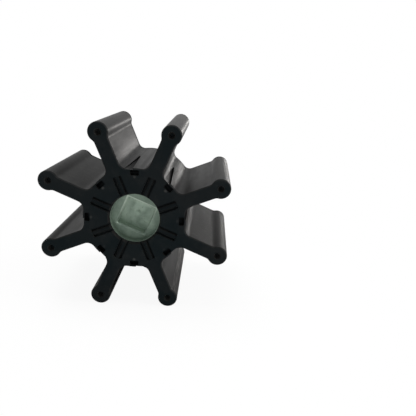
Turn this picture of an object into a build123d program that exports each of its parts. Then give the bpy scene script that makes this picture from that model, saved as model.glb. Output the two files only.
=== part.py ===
from build123d import *

import os
from math import atan, degrees, sqrt

# Flexible pump impeller: a moulded rubber body with bead-tipped blades on a metal drive insert.
# The shaft axis is Y. The drive socket opens at -Y and the shaft bore at +Y. +Z is up, and the origin
# is the middle of the axis. Two neighbouring blade tips stand at the same height under the hub.
# All sizes are in millimetres and all angles in degrees.

# Overall
TIP_DIAMETER = 65.0
WIDTH = 42.0
BLADE_COUNT = 8
FIRST_BLADE_ANGLE = 22.5

# Blades
BEAD_DIAMETER = 6.4
SHANK_THICKNESS = 4.6
NECK_RADIUS = 2.0
ROOT_RADIUS = 2.6
DIMPLE_DIAMETER = 2.3
DIMPLE_FLOOR_DIAMETER = 0.9
DIMPLE_DEPTH = 1.6

# Hub, and the flared mouth in each of its ends, which leaves a lip of rubber over the insert
HUB_DIAMETER = 33.0
EDGE_BEVEL = 0.35
MOUTH_DIAMETER = 16.0
MOUTH_FLARE = 0.55

# Recesses in the front end of the hub, one behind each blade and one behind each web
SLOT_OUTER_RADIUS = 14.6
SLOT_WIDTH = 2.9
SLOT_DEPTH = 0.9
SLOT_RIDGE_DIAMETER = 1.7
SLOT_CORNER_RADIUS = 0.5
POCKET_OUTER_RADIUS = 15.9
POCKET_HEIGHT = 1.7
POCKET_WIDTH = 2.8
POCKET_DEPTH = 1.5
POCKET_CORNER_RADIUS = 0.4

# Wedge-shaped recess along the outside of each web: open at the front, pointed towards the back, and
# with a flat floor that leans down to one side. The depths are those of the floor's middle line
WEDGE_LENGTH = 22.5
WEDGE_WIDTH = 2.6
WEDGE_POINT_WIDTH = 0.5
WEDGE_LEAD_ANGLE = 6.4
WEDGE_DEPTH_AT_FRONT = 0.3
WEDGE_DEPTH_AT_POINT = 0.85
WEDGE_FLOOR_LEAN = 10.5

# Outside of the metal insert, which the rubber is moulded around
INSERT_DIAMETER = 20.0
INSERT_NECK_DIAMETER = 17.6
INSERT_NECK_LENGTH = 2.6
INSERT_FRONT_RECESS = 1.2
INSERT_BACK_RECESS = 0.6
KEY_COUNT = 8
KEY_FLUTE_DIAMETER = 3.4
KEY_FLUTE_DEPTH = 1.1

# Drive end of the insert: a round cup with a square socket in its floor, bevelled at its mouth
CUP_DIAMETER = 15.8
CUP_DEPTH = 2.8
SOCKET_ACROSS_FLATS = 9.5
SOCKET_DEPTH = 4.0
SOCKET_BEVEL = 0.45
SOCKET_CORNER_RADIUS = 0.5
SOCKET_LEAD_ANGLE = 45.0
CENTRE_MARK_DIAMETER = 2.0
CENTRE_MARK_DEPTH = 0.3

# Shaft end of the insert: a blind keyed bore
BORE_DIAMETER = 12.7
BORE_DEPTH = 29.5
BORE_CHAMFER = 0.5
KEYWAY_WIDTH = 3.2
KEYWAY_DEPTH = 1.4
KEYWAY_ANGLE = 90.0

# Places worked out from the sizes above
FRONT_Y = -WIDTH / 2
BACK_Y = WIDTH / 2
INSERT_FRONT_Y = FRONT_Y + INSERT_FRONT_RECESS
INSERT_BACK_Y = BACK_Y - INSERT_BACK_RECESS
CUP_FLOOR_Y = INSERT_FRONT_Y + CUP_DEPTH
SOCKET_FLOOR_Y = CUP_FLOOR_Y + SOCKET_DEPTH
BLADE_PITCH = 360.0 / BLADE_COUNT
BEAD_CENTRE_RADIUS = (TIP_DIAMETER - BEAD_DIAMETER) / 2
HUB_RADIUS = HUB_DIAMETER / 2
OVERLAP = 1.0
SAME_PLACE = 0.01


def blade_angles():
    return [FIRST_BLADE_ANGLE + k * BLADE_PITCH for k in range(BLADE_COUNT)]


def web_angles():
    return [angle + BLADE_PITCH / 2 for angle in blade_angles()]


def end_plane(y):
    """The plane across the shaft axis at y, seen from the front: local X is X, local Y is Z."""
    return Plane(origin=(0, y, 0), x_dir=(1, 0, 0), z_dir=(0, -1, 0))


def cut_from_front(sketch, y, depth):
    """A cutter that reaches from just ahead of y to depth behind it."""
    return extrude(end_plane(y - OVERLAP) * sketch, amount=-(depth + OVERLAP))


def turned(points):
    """A solid of revolution about the shaft axis, from (radius, y) points."""
    profile = make_face(Polyline(*points, close=True))
    return revolve(profile, Axis.Y)


def blade_section():
    """One blade's section, lying along local X from the axis to its bead."""
    shank = Pos(BEAD_CENTRE_RADIUS / 2, 0) * Rectangle(BEAD_CENTRE_RADIUS, SHANK_THICKNESS)
    bead = Pos(BEAD_CENTRE_RADIUS, 0) * Rot(0, 0, 180) * Circle(BEAD_DIAMETER / 2)
    return shank + bead


def corners_near(sketch, radius):
    """The corners of a section that lie at a radius from the shaft axis."""
    return sketch.vertices().filter_by(lambda v: abs(sqrt(v.X**2 + v.Y**2) - radius) < SAME_PLACE)


def impeller_section():
    """The section that runs the whole width: hub, webs, blades and beads in one outline."""
    section = Rot(0, 0, FIRST_BLADE_ANGLE) * Circle(HUB_RADIUS)
    for angle in blade_angles():
        section += Rot(0, 0, angle) * blade_section()
    half_shank = SHANK_THICKNESS / 2
    neck_x = BEAD_CENTRE_RADIUS - sqrt((BEAD_DIAMETER / 2) ** 2 - half_shank**2)
    section = fillet(corners_near(section, HUB_RADIUS), ROOT_RADIUS)
    return fillet(corners_near(section, sqrt(neck_x**2 + half_shank**2)), NECK_RADIUS)


def moulding():
    """The rubber as one block, with its outside edges bevelled at both ends."""
    block = extrude(end_plane(0) * impeller_section(), amount=BACK_Y, both=True)
    ends = block.edges().group_by(Axis.Y)
    return chamfer(ends[0] + ends[-1], EDGE_BEVEL)


def slot_cutter(angle):
    """A shallow radial slot with a low round ridge along its floor."""
    inner_radius = MOUTH_DIAMETER / 2 - OVERLAP
    length = SLOT_OUTER_RADIUS - inner_radius
    middle = inner_radius + length / 2
    outline = Pos(middle, 0) * RectangleRounded(length, SLOT_WIDTH, SLOT_CORNER_RADIUS)
    cutter = cut_from_front(Rot(0, 0, angle) * outline, FRONT_Y, SLOT_DEPTH)
    ridge_plane = end_plane(FRONT_Y + SLOT_DEPTH) * Rot(0, 0, angle) * Pos(middle, 0) * Rot(0, 90, 0)
    ridge = ridge_plane * Cylinder(SLOT_RIDGE_DIAMETER / 2, length)
    return cutter - ridge


def pocket_cutter(angle):
    """A small pocket close under the rim of the hub."""
    middle = POCKET_OUTER_RADIUS - POCKET_HEIGHT / 2
    outline = Pos(middle, 0) * RectangleRounded(POCKET_HEIGHT, POCKET_WIDTH, POCKET_CORNER_RADIUS)
    return cut_from_front(Rot(0, 0, angle) * outline, FRONT_Y, POCKET_DEPTH)


def wedge_cutter(angle):
    """The wedge recess of one web: its outline, drawn on the leaning floor and extruded outwards."""
    front = WEDGE_WIDTH / 2
    point = WEDGE_POINT_WIDTH / 2
    outline = make_face(Polyline(
        (-OVERLAP, -front),
        (0, -front),
        (WEDGE_LENGTH, -point),
        (WEDGE_LENGTH, point),
        (0, front),
        (-OVERLAP, front),
        close=True,
    ))
    floor = Plane(origin=(0, 0, 0), x_dir=(0, 1, 0), z_dir=(1, 0, 0))
    cutter = extrude(floor * outline, amount=WEDGE_DEPTH_AT_POINT + OVERLAP)
    slope = degrees(atan((WEDGE_DEPTH_AT_POINT - WEDGE_DEPTH_AT_FRONT) / WEDGE_LENGTH))
    start = Pos(HUB_RADIUS - WEDGE_DEPTH_AT_FRONT, FRONT_Y, 0)
    lean = Rot(0, 0, slope) * Rot(0, WEDGE_FLOOR_LEAN, 0)
    return Rot(0, -(angle + WEDGE_LEAD_ANGLE), 0) * start * lean * cutter


def dimple_cutter(angle):
    """A shallow tapered dimple in the front end of a bead."""
    mouth = DIMPLE_DIAMETER / 2
    floor = DIMPLE_FLOOR_DIAMETER / 2
    floor_y = FRONT_Y + DIMPLE_DEPTH
    ahead_y = FRONT_Y - OVERLAP
    dimple = turned([(0, floor_y), (floor, floor_y), (mouth, FRONT_Y), (mouth, ahead_y), (0, ahead_y)])
    return Rot(0, -angle, 0) * Pos(BEAD_CENTRE_RADIUS, 0, 0) * dimple


def mouth_cutter(face_y, insert_y):
    """The flared mouth of the rubber, from an end face down to the end of the insert."""
    radius = MOUTH_DIAMETER / 2
    outward = OVERLAP if face_y > insert_y else -OVERLAP
    points = [
        (0, insert_y),
        (radius, insert_y),
        (radius + MOUTH_FLARE, face_y),
        (radius + MOUTH_FLARE, face_y + outward),
        (0, face_y + outward),
    ]
    return turned(points)


def insert_envelope():
    """The outside of the insert: a drum with keying flutes, between two necks."""
    neck = INSERT_NECK_DIAMETER / 2
    drum = INSERT_DIAMETER / 2
    neck_front = INSERT_FRONT_Y + INSERT_NECK_LENGTH
    neck_back = INSERT_BACK_Y - INSERT_NECK_LENGTH
    points = [
        (0, INSERT_FRONT_Y),
        (neck, INSERT_FRONT_Y),
        (neck, neck_front),
        (drum, neck_front),
        (drum, neck_back),
        (neck, neck_back),
        (neck, INSERT_BACK_Y),
        (0, INSERT_BACK_Y),
    ]
    flute_centre = drum - KEY_FLUTE_DEPTH + KEY_FLUTE_DIAMETER / 2
    flute = Pos(flute_centre, 0) * Circle(KEY_FLUTE_DIAMETER / 2)
    angles = [FIRST_BLADE_ANGLE + k * 360.0 / KEY_COUNT for k in range(KEY_COUNT)]
    flutes = [
        extrude(end_plane(neck_front) * Rot(0, 0, angle) * flute, amount=-(neck_back - neck_front))
        for angle in angles
    ]
    return turned(points) - flutes


def drive_end_cutter():
    """Cup, bevelled square socket and centre mark at the front of the insert."""
    turn = Rot(0, 0, FIRST_BLADE_ANGLE + SOCKET_LEAD_ANGLE)
    square = turn * RectangleRounded(SOCKET_ACROSS_FLATS, SOCKET_ACROSS_FLATS, SOCKET_CORNER_RADIUS)
    mouth_width = SOCKET_ACROSS_FLATS + 2 * SOCKET_BEVEL
    mouth = turn * RectangleRounded(mouth_width, mouth_width, SOCKET_CORNER_RADIUS + SOCKET_BEVEL)
    cup = cut_from_front(Circle(CUP_DIAMETER / 2), INSERT_FRONT_Y, CUP_DEPTH)
    socket = cut_from_front(square, CUP_FLOOR_Y, SOCKET_DEPTH)
    bevel = loft([end_plane(CUP_FLOOR_Y) * mouth, end_plane(CUP_FLOOR_Y + SOCKET_BEVEL) * square])
    mark_radius = CENTRE_MARK_DIAMETER / 2
    mark_floor_y = SOCKET_FLOOR_Y + CENTRE_MARK_DEPTH
    mark = turned([(0, SOCKET_FLOOR_Y), (mark_radius, SOCKET_FLOOR_Y), (0, mark_floor_y)])
    return [cup, socket, bevel, mark]


def shaft_end_cutter():
    """Blind shaft bore with its keyway and the bevel at its mouth."""
    bore_radius = BORE_DIAMETER / 2
    floor_y = INSERT_BACK_Y - BORE_DEPTH
    bore = turned([
        (0, floor_y),
        (bore_radius, floor_y),
        (bore_radius, INSERT_BACK_Y - BORE_CHAMFER),
        (bore_radius + BORE_CHAMFER, INSERT_BACK_Y),
        (bore_radius + BORE_CHAMFER, INSERT_BACK_Y + OVERLAP),
        (0, INSERT_BACK_Y + OVERLAP),
    ])
    reach = bore_radius + KEYWAY_DEPTH
    slot = Rot(0, 0, KEYWAY_ANGLE) * Pos(reach / 2, 0) * Rectangle(reach, KEYWAY_WIDTH)
    keyway = extrude(end_plane(floor_y) * slot, amount=-(BORE_DEPTH + OVERLAP))
    return [bore, keyway]


def rubber_body():
    body = moulding()
    body -= insert_envelope()
    body -= [mouth_cutter(FRONT_Y, INSERT_FRONT_Y), mouth_cutter(BACK_Y, INSERT_BACK_Y)]
    for angle in blade_angles():
        body -= [slot_cutter(angle), dimple_cutter(angle)]
    for angle in web_angles():
        body -= [pocket_cutter(angle), wedge_cutter(angle)]
    return body


def drive_insert():
    return insert_envelope() - drive_end_cutter() - shaft_end_cutter()


os.makedirs("parts", exist_ok=True)
export_step(rubber_body(), "parts/rubber_body.step")
export_step(drive_insert(), "parts/drive_insert.step")
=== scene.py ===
"""Finishes, camera, floor and light for the rubber pump impeller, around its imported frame.

Lengths are metres in the part's own frame: the shaft axis is Y, the drive end faces -Y and +Z is up.
Angles are degrees, and colours are linear red, green, blue and alpha.
"""
import math

import bpy
from mathutils import Matrix, Vector


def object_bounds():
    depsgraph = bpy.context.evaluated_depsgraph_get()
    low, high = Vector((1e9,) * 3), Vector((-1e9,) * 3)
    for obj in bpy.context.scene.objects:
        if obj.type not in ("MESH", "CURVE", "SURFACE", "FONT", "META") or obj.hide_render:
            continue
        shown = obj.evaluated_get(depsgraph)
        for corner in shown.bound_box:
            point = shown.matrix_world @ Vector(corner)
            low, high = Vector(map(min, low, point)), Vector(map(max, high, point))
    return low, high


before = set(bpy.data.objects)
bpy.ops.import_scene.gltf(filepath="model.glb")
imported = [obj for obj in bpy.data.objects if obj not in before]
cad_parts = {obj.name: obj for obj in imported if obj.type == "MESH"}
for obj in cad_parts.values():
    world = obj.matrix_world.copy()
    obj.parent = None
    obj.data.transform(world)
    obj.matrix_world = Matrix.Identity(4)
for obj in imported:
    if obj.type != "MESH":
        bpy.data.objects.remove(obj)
CAD_LOW, CAD_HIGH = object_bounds()

MM = 0.001
WHITE = (1, 1, 1, 1)

# Camera, set so that the picture has the perspective of the reference view
PICTURE_SIDE = 416
FOCAL_PIXELS = 451.5
SENSOR_WIDTH_MM = 36.0
CAMERA_PLACE = Vector((22.8 * MM, -157.7 * MM, 44.8 * MM))
CAMERA_YAW = 0.20
CAMERA_PITCH = -16.25
CAMERA_ROLL = 2.92
CAMERA_NEAR = 0.005
CAMERA_FAR = 20.0

# Area lights that face the part: name, place, width and height, watts, colour
LIGHTS = (
    ("window_behind_right", (0.33, 1.15, 0.00), (0.34, 0.05), 0.88, (1.0, 0.97, 0.94)),
    ("key_right", (0.50, -0.05, 0.20), (0.30, 0.30), 2.6, (1.0, 0.98, 0.96)),
    ("top_soft", (-0.10, 0.10, 0.60), (0.40, 0.40), 2.6, (1.0, 1.0, 1.0)),
)

# Strength of the white surround: as a light, and as the camera and reflections see it
SURROUND_LIGHT = 0.42
SURROUND_SEEN = 1.0

# From here on, a pair that ends in RANGE, TOP, BOTTOM, FRONT, BACK, OUTSIDE or EDGE gives the value at
# which a share is 0 and then the value at which it is 1. A pair of results after it replaces 0 and 1.

# Floor: how white it looks, by distance from the part
FLOOR_SIDE = 6.0
FLOOR_COLOUR = (0.82, 0.82, 0.82, 1)
FLOOR_SEEN_RANGE = (0.03, 0.09)
FLOOR_SEEN_WHITE = (0.92, 1.0)
FLOOR_REFLECTED_RANGE = (0.07, 0.32)

# Rubber: what its finish follows, by distance from the axis, by place along it, and, for the sides, by
# how little the surface faces along it
HUB_RADIUS = 16.5 * MM
WEB_COUNT = 8
SIDE_RANGE = (0.90, 0.60)
# Recesses just below the hub's outside get painted shade
RECESS_TOP = (HUB_RADIUS - 0.02 * MM, HUB_RADIUS - 0.75 * MM)
RECESS_BOTTOM = (HUB_RADIUS - 1.6 * MM, HUB_RADIUS - 1.2 * MM)
RECESS_FRONT = (CAD_LOW.y + 0.4 * MM, CAD_LOW.y + 1.2 * MM)
RECESS_BACK = (CAD_HIGH.y - 0.04 * MM, CAD_HIGH.y - 0.5 * MM)
# Slots, pockets and mouth in the front face get painted shade
HOLLOW_OUTSIDE = (HUB_RADIUS - 0.3 * MM, HUB_RADIUS - 0.5 * MM)
HOLLOW_TOP = (CAD_LOW.y + 0.01 * MM, CAD_LOW.y + 0.05 * MM)
HOLLOW_BOTTOM = (CAD_LOW.y + 2.4 * MM, CAD_LOW.y + 2.0 * MM)
# Band along the back edge of the sides, which gets painted shade
BACK_BAND_RANGE = (CAD_HIGH.y - 1.8 * MM, CAD_HIGH.y - 1.0 * MM)
WEB_RANGE = (HUB_RADIUS + 5.0 * MM, HUB_RADIUS + 1.0 * MM)
WEB_STREAKS = (0.25, 1.0)
# Small spots on the front face, one at each web, which get a painted highlight
HIGHLIGHT_SPOT_RADIUS = 13.8 * MM
HIGHLIGHT_SPOT_WOBBLE = 0.5 * MM
HIGHLIGHT_SPOT_EDGE = (0.85 * MM, 0.45 * MM)
HIGHLIGHT_SPOT_BOTTOM = (CAD_LOW.y + 0.1 * MM, CAD_LOW.y + 0.02 * MM)
HIGHLIGHT_SPOT_PATCH_RANGE = (0.40, 0.62)
HIGHLIGHT_SPOT_STRENGTHS = (0.15, 1.0)

# Middle of every noise pattern
NOISE_MIDDLE = 0.5

# Rubber: noise patterns, where "along" under 1 draws a pattern out along the mould's axis
RUBBER_NOISE = {
    "patches": {"scale": 70.0, "detail": 3.0},
    "swell": {"scale": 110.0, "detail": 1.0, "along": 0.20},
    "film": {"scale": 260.0, "detail": 3.0, "roughness": 0.6, "along": 0.20},
    "streaks": {"scale": 380.0, "detail": 2.0, "along": 0.03},
    "mottle": {"scale": 520.0, "detail": 4.0, "roughness": 0.65, "along": 0.20},
    "dust": {"scale": 620.0, "detail": 4.0, "roughness": 0.7},
    "wobble": {"scale": 900.0, "detail": 2.0},
    "grain": {"scale": 2600.0, "detail": 2.0},
}
COLOUR_RANGE = (0.35, 0.65)
FILM_RANGE = (0.48, 0.72)
DUST_RANGE = (0.54, 0.74)

# Rubber: base colours of the moulded end faces and of the sides, where the sides are lighter partly as
# painted light, then layers over them in order, each with its strength: the recess, hollow and back band
# layers are painted shade, and the highlight spots are painted highlights
FACE_COLOURS = ((0.0070, 0.0108, 0.0122, 1), (0.0110, 0.0134, 0.0144, 1))
SIDE_COLOURS_WITH_PAINTED_LIGHT = ((0.0172, 0.0173, 0.0170, 1), (0.0210, 0.0210, 0.0206, 1))
RUBBER_LAYERS = {
    "film": (0.20, (0.028, 0.028, 0.027, 1)),
    "dust": (0.40, (0.052, 0.051, 0.048, 1)),
    # Painted shade in the recesses below the hub's outside
    "recess": (1.0, (0.0040, 0.0042, 0.0046, 1)),
    # Painted shade in the slots, pockets and mouth of the front face
    "hollow_painted_shade": (0.26, (0.0010, 0.0014, 0.0016, 1)),
    # Painted shade along the back edge of the sides
    "back_band_painted_shade": (1.0, (0.0080, 0.0080, 0.0080, 1)),
    # Painted highlight spots on the front face
    "highlight_spot": (1.0, (0.055, 0.056, 0.054, 1)),
}

# Rubber: gloss, and fine relief by height and strength
RUBBER_SPECULAR = 0.021
GLOSS_RANGE = (0.75, 1.9)
GLOSS_ROUGHNESS = (0.37, 0.43)
STREAK_RANGE = (-0.15, 0.15)
STREAK_ROUGHNESS = (-0.05, 0.05)
RECESS_ROUGHNESS = 0.25
BACK_BAND_ROUGHNESS = 0.55
RUBBER_RELIEF = {
    "swell": (0.30 * MM, 0.05),
    "streaks": (0.10 * MM, 0.10),
    "mottle": (0.05 * MM, 0.07),
    "grain": (0.03 * MM, 0.35),
}

# Insert: the square socket, by distance from the axis across its flats and by place along the axis
SOCKET_TURN = 67.5
SOCKET_BEVEL_INNER = 4.75 * MM
SOCKET_BEVEL_OUTER = 5.20 * MM
SOCKET_MOUTH_Y = -17.0 * MM
SOCKET_FLOOR_Y = -13.0 * MM
FLATS_RANGE = (SOCKET_BEVEL_INNER - 0.05 * MM, SOCKET_BEVEL_INNER + 0.02 * MM)
BEVEL_RANGE = (SOCKET_BEVEL_OUTER + 0.20 * MM, SOCKET_BEVEL_OUTER)
MOUTH_RANGE = (SOCKET_MOUTH_Y + 0.60 * MM, SOCKET_MOUTH_Y + 0.40 * MM)
WALL_END_RANGE = (SOCKET_FLOOR_Y + 0.80 * MM, SOCKET_FLOOR_Y + 0.50 * MM)
CORNER_RANGE = (SOCKET_BEVEL_INNER - 2.2 * MM, SOCKET_BEVEL_INNER)

# Insert: colours, and how strongly they show: painted shade on the flat round the socket, painted light
# on the socket's walls and on its floor near them, more towards the top, and, on its bevelled edge, wear
# with a painted highlight, brighter towards the top
METAL_COLOURS = ((0.152, 0.208, 0.168, 1), (0.268, 0.346, 0.282, 1))
AROUND_PAINTED_SHADE_COLOUR = (0.092, 0.128, 0.098, 1)
CORNER_PAINTED_LIGHT_COLOUR = (0.470, 0.570, 0.480, 1)
WALL_PAINTED_LIGHT_COLOUR = (0.520, 0.620, 0.530, 1)
SPECK_COLOUR = (0.070, 0.085, 0.062, 1)
WORN_AND_HIGHLIGHT_COLOUR = (0.540, 0.640, 0.545, 1)
AROUND_PAINTED_SHADE_STRENGTH = 0.40
WALL_PAINTED_LIGHT_STRENGTH = 0.75
CORNER_PAINTED_LIGHT_RANGE = (-3.0 * MM, 3.0 * MM)
CORNER_PAINTED_LIGHT_STRENGTHS = (0.15, 0.75)
WORN_AND_HIGHLIGHT_RANGE = (-1.0 * MM, 4.5 * MM)
WORN_AND_HIGHLIGHT_STRENGTHS = (0.10, 0.90)

# Insert: noise patterns, turning marks, gloss, and fine relief by height and strength
METAL_NOISE = {
    "cloud": {"scale": 260.0, "detail": 4.0, "roughness": 0.55},
    "speck": {"scale": 1500.0, "detail": 3.0},
}
TURNING_MARKS = {"Scale": 1300.0, "Distortion": 0.4, "Detail": 2.0}
SPECK_RANGE = (0.62, 0.78)
SPECK_STRENGTHS = (0.0, 0.5)
METALLIC_UNWORN = 0.60
METALLIC_WORN = 0.0
METAL_GLOSS_RANGE = (0.3, 0.7)
METAL_ROUGHNESS = (0.54, 0.42)
METAL_RELIEF = {"marks": (0.02 * MM, 0.35), "speck": (0.03 * MM, 0.4)}


class Nodes:
    """A small helper that adds and links shader nodes in one tree."""

    def __init__(self, tree):
        self.tree = tree
        tree.nodes.clear()

    def feed(self, socket, value):
        """Links a value that is a socket, and sets any other on the input itself."""
        if isinstance(value, bpy.types.NodeSocket):
            self.tree.links.new(value, socket)
        else:
            socket.default_value = value

    def add(self, kind, inputs=(), **settings):
        """Adds a node with its settings and its inputs, by name or number."""
        node = self.tree.nodes.new(kind)
        for name, value in settings.items():
            setattr(node, name, value)
        for name, value in dict(inputs).items():
            self.feed(node.inputs[name], value)
        return node

    def parts(self, vector):
        """The X, Y and Z of a vector."""
        return self.add("ShaderNodeSeparateXYZ", {"Vector": vector}).outputs

    def mapped(self, vector, **changes):
        """A vector after its Rotation, in radians, or Scale."""
        return self.add("ShaderNodeMapping", {"Vector": vector, **changes}).outputs["Vector"]

    def length(self, vector):
        """The length of a vector."""
        return self.add("ShaderNodeVectorMath", {0: vector}, operation="LENGTH").outputs["Value"]

    def noise(self, where, scale, detail, roughness=0.5, along=1.0):
        """Noise about NOISE_MIDDLE, drawn out along Y where along is under 1."""
        where = self.mapped(where, Scale=(1.0, along, 1.0))
        values = {"Vector": where, "Scale": scale, "Detail": detail, "Roughness": roughness}
        return self.add("ShaderNodeTexNoise", values).outputs["Fac"]

    def spread(self, value, low, high, to_low=0.0, to_high=1.0):
        """Maps low to high onto to_low to to_high, and stays within them."""
        values = {"Value": value, "From Min": low, "From Max": high, "To Min": to_low, "To Max": to_high}
        return self.add("ShaderNodeMapRange", values).outputs["Result"]

    def math(self, operation, first, second=0.0, third=0.0):
        """One operation on up to three numbers."""
        values = {0: first, 1: second, 2: third}
        return self.add("ShaderNodeMath", values, operation=operation).outputs[0]

    def combine(self, operation, first, *others):
        """The same operation through a row of numbers."""
        for other in others:
            first = self.math(operation, first, other)
        return first

    def product(self, *values):
        """The product of the values."""
        return self.combine("MULTIPLY", *values)

    def total(self, *values):
        """The sum of the values."""
        return self.combine("ADD", *values)

    def largest(self, *values):
        """The largest of the values."""
        return self.combine("MAXIMUM", *values)

    def blend(self, factor, first, second):
        """A colour between the first, where the factor is 0, and the second, where it is 1."""
        node = self.add("ShaderNodeMix", data_type="RGBA")
        for index, value in ((0, factor), (6, first), (7, second)):
            self.feed(node.inputs[index], value)
        return node.outputs[2]

    def relief(self, heights, sizes):
        """The normal after every relief in sizes, each with its height in metres and its strength."""
        normal = {}
        for name, (distance, strength) in sizes.items():
            values = {"Height": heights[name], "Distance": distance, "Strength": strength, **normal}
            normal = {"Normal": self.add("ShaderNodeBump", values).outputs["Normal"]}
        return normal["Normal"]

    def surface(self, inputs):
        """Ends the tree in one Principled shader."""
        shader = self.add("ShaderNodeBsdfPrincipled", inputs)
        self.add("ShaderNodeOutputMaterial", {"Surface": shader.outputs["BSDF"]})


def material(name):
    """A new material and the helper for its tree."""
    made = bpy.data.materials.new(name)
    made.use_nodes = True
    return made, Nodes(made.node_tree)


def in_recess(n, radius, y):
    """1 a little below the hub's outside, between its two end faces, and 0 elsewhere: the rubber there
    gets painted shade.
    """
    return n.product(
        n.spread(radius, *RECESS_TOP),
        n.spread(radius, *RECESS_BOTTOM),
        n.spread(y, *RECESS_FRONT),
        n.spread(y, *RECESS_BACK),
    )


def in_front_hollow(n, radius, y):
    """1 inside the slots, pockets and mouth at the front of the hub, and 0 elsewhere: the rubber there
    gets painted shade.
    """
    return n.product(
        n.spread(radius, *HOLLOW_OUTSIDE),
        n.spread(y, *HOLLOW_TOP),
        n.spread(y, *HOLLOW_BOTTOM),
    )


def on_painted_highlight_spot(n, radius, angle, y, wobble):
    """1 on the small spots of painted highlight on the front face, one at each web."""
    pitch = 2 * math.pi / WEB_COUNT
    step = n.math("WRAP", n.product(angle, 1 / pitch), 0.5, -0.5)
    across = n.product(step, pitch * HIGHLIGHT_SPOT_RADIUS)
    outward = n.math("SUBTRACT", radius, HIGHLIGHT_SPOT_RADIUS)
    away = n.math("SQRT", n.total(n.product(across, across), n.product(outward, outward)))
    away = n.total(away, n.product(wobble, HIGHLIGHT_SPOT_WOBBLE))
    return n.product(n.spread(away, *HIGHLIGHT_SPOT_EDGE), n.spread(y, *HIGHLIGHT_SPOT_BOTTOM))


def rubber_material():
    """Black moulded rubber: satin, dusty and faintly streaked on its sides, which are partly painted
    light, dull and darkened by painted shade in its hollows, recesses and along the sides' back edge,
    with painted highlight spots on its front face.
    """
    made, n = material("moulded_rubber")
    coords = n.add("ShaderNodeTexCoord").outputs
    where = coords["Object"]
    noise = {name: n.noise(where, **values) for name, values in RUBBER_NOISE.items()}
    x, y, z = n.parts(where)
    radius = n.length(n.mapped(where, Scale=(1.0, 0.0, 1.0)))
    side = n.spread(n.math("ABSOLUTE", n.parts(coords["Normal"])["Y"]), *SIDE_RANGE)
    near_web = n.spread(radius, *WEB_RANGE, *WEB_STREAKS)
    streaks = n.product(n.math("SUBTRACT", noise["streaks"], NOISE_MIDDLE), near_web)
    highlight_spot = on_painted_highlight_spot(n, radius, n.math("ARCTAN2", z, x), y, noise["wobble"])
    shares = {
        "film": n.spread(noise["film"], *FILM_RANGE),
        "dust": n.product(side, n.spread(noise["dust"], *DUST_RANGE)),
        # Painted shade in the recesses below the hub's outside
        "recess": in_recess(n, radius, y),
        # Painted shade in the slots, pockets and mouth of the front face
        "hollow_painted_shade": in_front_hollow(n, radius, y),
        # Painted shade along the back edge of the sides
        "back_band_painted_shade": n.product(side, n.spread(y, *BACK_BAND_RANGE)),
        # Painted highlight spots on the front face
        "highlight_spot": n.product(highlight_spot, n.spread(noise["patches"], *HIGHLIGHT_SPOT_PATCH_RANGE, *HIGHLIGHT_SPOT_STRENGTHS)),
    }

    face = n.blend(n.spread(noise["patches"], *COLOUR_RANGE), *FACE_COLOURS)
    # The sides take lighter colours than the end faces, partly as painted light
    colour = n.blend(side, face, n.blend(n.spread(noise["mottle"], *COLOUR_RANGE), *SIDE_COLOURS_WITH_PAINTED_LIGHT))
    for name, (strength, tint) in RUBBER_LAYERS.items():
        colour = n.blend(n.product(shares[name], strength), colour, tint)

    unevenness = n.total(noise["patches"], shares["film"], noise["mottle"])
    roughness = n.total(
        n.spread(unevenness, *GLOSS_RANGE, *GLOSS_ROUGHNESS),
        n.spread(streaks, *STREAK_RANGE, *STREAK_ROUGHNESS),
        n.product(shares["recess"], RECESS_ROUGHNESS),
        n.product(shares["back_band_painted_shade"], BACK_BAND_ROUGHNESS),
    )
    normal = n.relief({**noise, "streaks": streaks}, RUBBER_RELIEF)
    n.surface({
        "Base Color": colour,
        "Roughness": roughness,
        "Specular IOR Level": RUBBER_SPECULAR,
        "Normal": normal,
    })
    return made


def socket_zones(n, where):
    """Shares of the socket's bevelled edge, walls, floor near the walls and the flat round it."""
    turned = n.mapped(where, Rotation=(0.0, math.radians(SOCKET_TURN), 0.0))
    x, y, z = n.parts(turned)
    from_axis = n.largest(n.math("ABSOLUTE", x), n.math("ABSOLUTE", z))
    beyond_flats = n.spread(from_axis, *FLATS_RANGE)
    within_bevel = n.spread(from_axis, *BEVEL_RANGE)
    at_mouth = n.spread(y, *MOUTH_RANGE)
    inside = n.product(n.spread(y, *WALL_END_RANGE), n.math("SUBTRACT", 1.0, at_mouth))
    edge = n.product(beyond_flats, within_bevel, at_mouth)
    walls = n.product(beyond_flats, inside)
    corners = n.product(n.spread(from_axis, *CORNER_RANGE), inside)
    around = n.product(n.math("SUBTRACT", 1.0, within_bevel), at_mouth)
    return edge, walls, corners, around


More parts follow.
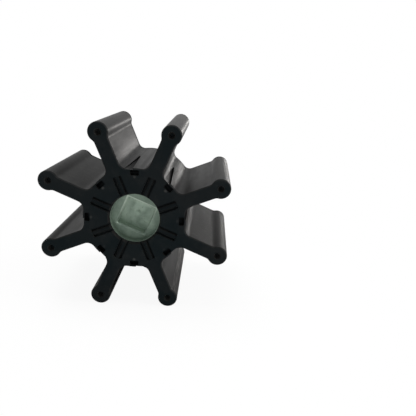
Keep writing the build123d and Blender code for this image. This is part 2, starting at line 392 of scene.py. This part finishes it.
def insert_material():
    """Dull greenish-grey copper alloy, with painted shade round the socket, painted light on the socket's
    walls and floor, and a worn upper edge that carries a painted highlight.
    """
    made, n = material("insert_metal")
    where = n.add("ShaderNodeTexCoord").outputs["Object"]
    noise = {name: n.noise(where, **values) for name, values in METAL_NOISE.items()}
    marks = n.add("ShaderNodeTexWave", {"Vector": where, **TURNING_MARKS},
                  wave_type="RINGS", rings_direction="Y").outputs["Fac"]
    height = n.parts(where)["Z"]
    edge, walls, corners, around = socket_zones(n, where)
    worn_and_highlight = n.product(edge, n.spread(height, *WORN_AND_HIGHLIGHT_RANGE, *WORN_AND_HIGHLIGHT_STRENGTHS))
    layers = (
        # Painted shade on the flat round the socket
        (n.product(around, AROUND_PAINTED_SHADE_STRENGTH), AROUND_PAINTED_SHADE_COLOUR),
        # Painted light on the socket's floor near its walls, stronger towards the top
        (n.product(corners, n.spread(height, *CORNER_PAINTED_LIGHT_RANGE, *CORNER_PAINTED_LIGHT_STRENGTHS)), CORNER_PAINTED_LIGHT_COLOUR),
        # Painted light on the socket's walls
        (n.product(walls, WALL_PAINTED_LIGHT_STRENGTH), WALL_PAINTED_LIGHT_COLOUR),
        (n.spread(noise["speck"], *SPECK_RANGE, *SPECK_STRENGTHS), SPECK_COLOUR),
        # Wear on the bevelled edge with a painted highlight, brighter towards the top
        (worn_and_highlight, WORN_AND_HIGHLIGHT_COLOUR),
    )
    colour = n.blend(n.spread(noise["cloud"], *COLOUR_RANGE), *METAL_COLOURS)
    for share, tint in layers:
        colour = n.blend(share, colour, tint)

    metallic = n.spread(worn_and_highlight, 0.0, 1.0, METALLIC_UNWORN, METALLIC_WORN)
    roughness = n.spread(noise["cloud"], *METAL_GLOSS_RANGE, *METAL_ROUGHNESS)
    normal = n.relief({**noise, "marks": marks}, METAL_RELIEF)
    n.surface({
        "Base Color": colour,
        "Metallic": metallic,
        "Roughness": roughness,
        "Normal": normal,
    })
    return made


def dress(node_name, made):
    """Gives a carried-over node its finish."""
    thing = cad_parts[node_name]
    thing.data.materials.clear()
    thing.data.materials.append(made)


def floor_material():
    """Pale floor with a soft shadow near the part, which fades into the white background.

    What the camera sees turns white close to the part. What the part's sides reflect turns white further
    out, so that the floor under it darkens its lower surfaces.
    """
    made, n = material("floor")
    distance = n.length(n.add("ShaderNodeTexCoord").outputs["Object"])
    rays = n.add("ShaderNodeLightPath").outputs
    seen = n.largest(rays["Is Camera Ray"], rays["Is Transmission Ray"])
    seen = n.product(n.spread(distance, *FLOOR_SEEN_RANGE, *FLOOR_SEEN_WHITE), seen)
    reflected = n.product(n.spread(distance, *FLOOR_REFLECTED_RANGE), rays["Is Glossy Ray"])
    matt = n.add("ShaderNodeBsdfDiffuse", {"Color": FLOOR_COLOUR})
    white = n.add("ShaderNodeEmission", {"Color": WHITE, "Strength": 1.0})
    inputs = {0: n.largest(seen, reflected), 1: matt.outputs[0], 2: white.outputs[0]}
    mix = n.add("ShaderNodeMixShader", inputs)
    n.add("ShaderNodeOutputMaterial", {"Surface": mix.outputs[0]})
    return made


def add_floor():
    """Adds the floor that the part stands on."""
    half = FLOOR_SIDE / 2
    corners = [(-half, -half, 0), (half, -half, 0), (half, half, 0), (-half, half, 0)]
    mesh = bpy.data.meshes.new("floor")
    mesh.from_pydata(corners, [], [(0, 1, 2, 3)])
    mesh.materials.append(floor_material())
    floor = bpy.data.objects.new("floor", mesh)
    floor.location.z = CAD_LOW.z
    bpy.context.scene.collection.objects.link(floor)


def add_world():
    """A white surround for what the camera and reflections see, and soft grey light for the rest."""
    world = bpy.data.worlds.new("surround")
    bpy.context.scene.world = world
    world.use_nodes = True
    n = Nodes(world.node_tree)
    rays = n.add("ShaderNodeLightPath").outputs
    seen = n.largest(rays["Is Camera Ray"], rays["Is Glossy Ray"], rays["Is Transmission Ray"])
    strength = n.spread(seen, 0.0, 1.0, SURROUND_LIGHT, SURROUND_SEEN)
    surround = n.add("ShaderNodeBackground", {"Color": WHITE, "Strength": strength})
    n.add("ShaderNodeOutputWorld", {"Surface": surround.outputs[0]})


def add_lights():
    """Adds the area lights, turned towards the part."""
    for name, place, size, power, colour in LIGHTS:
        lamp = bpy.data.lights.new(name, "AREA")
        lamp.color = colour
        lamp.shape = "RECTANGLE"
        lamp.size, lamp.size_y = size
        lamp.energy = power
        thing = bpy.data.objects.new(name, lamp)
        thing.location = place
        thing.rotation_euler = (-Vector(place)).to_track_quat("-Z", "Y").to_euler()
        bpy.context.scene.collection.objects.link(thing)


def add_camera():
    """Adds the camera: turned about Z by its yaw, then tilted by its pitch, then rolled."""
    lens = bpy.data.cameras.new("camera")
    lens.sensor_width = SENSOR_WIDTH_MM
    lens.lens = SENSOR_WIDTH_MM * FOCAL_PIXELS / PICTURE_SIDE
    lens.clip_start = CAMERA_NEAR
    lens.clip_end = CAMERA_FAR
    camera = bpy.data.objects.new("camera", lens)
    turn = Matrix.Rotation(math.radians(-CAMERA_YAW), 4, "Z")
    tilt = Matrix.Rotation(math.radians(90.0 + CAMERA_PITCH), 4, "X")
    roll = Matrix.Rotation(math.radians(CAMERA_ROLL), 4, "Z")
    camera.matrix_world = Matrix.Translation(CAMERA_PLACE) @ turn @ tilt @ roll
    bpy.context.scene.collection.objects.link(camera)
    bpy.context.scene.camera = camera


dress("rubber_body", rubber_material())
dress("drive_insert", insert_material())
add_floor()
add_world()
add_lights()
add_camera()
bpy.context.scene.view_settings.view_transform = "Standard"
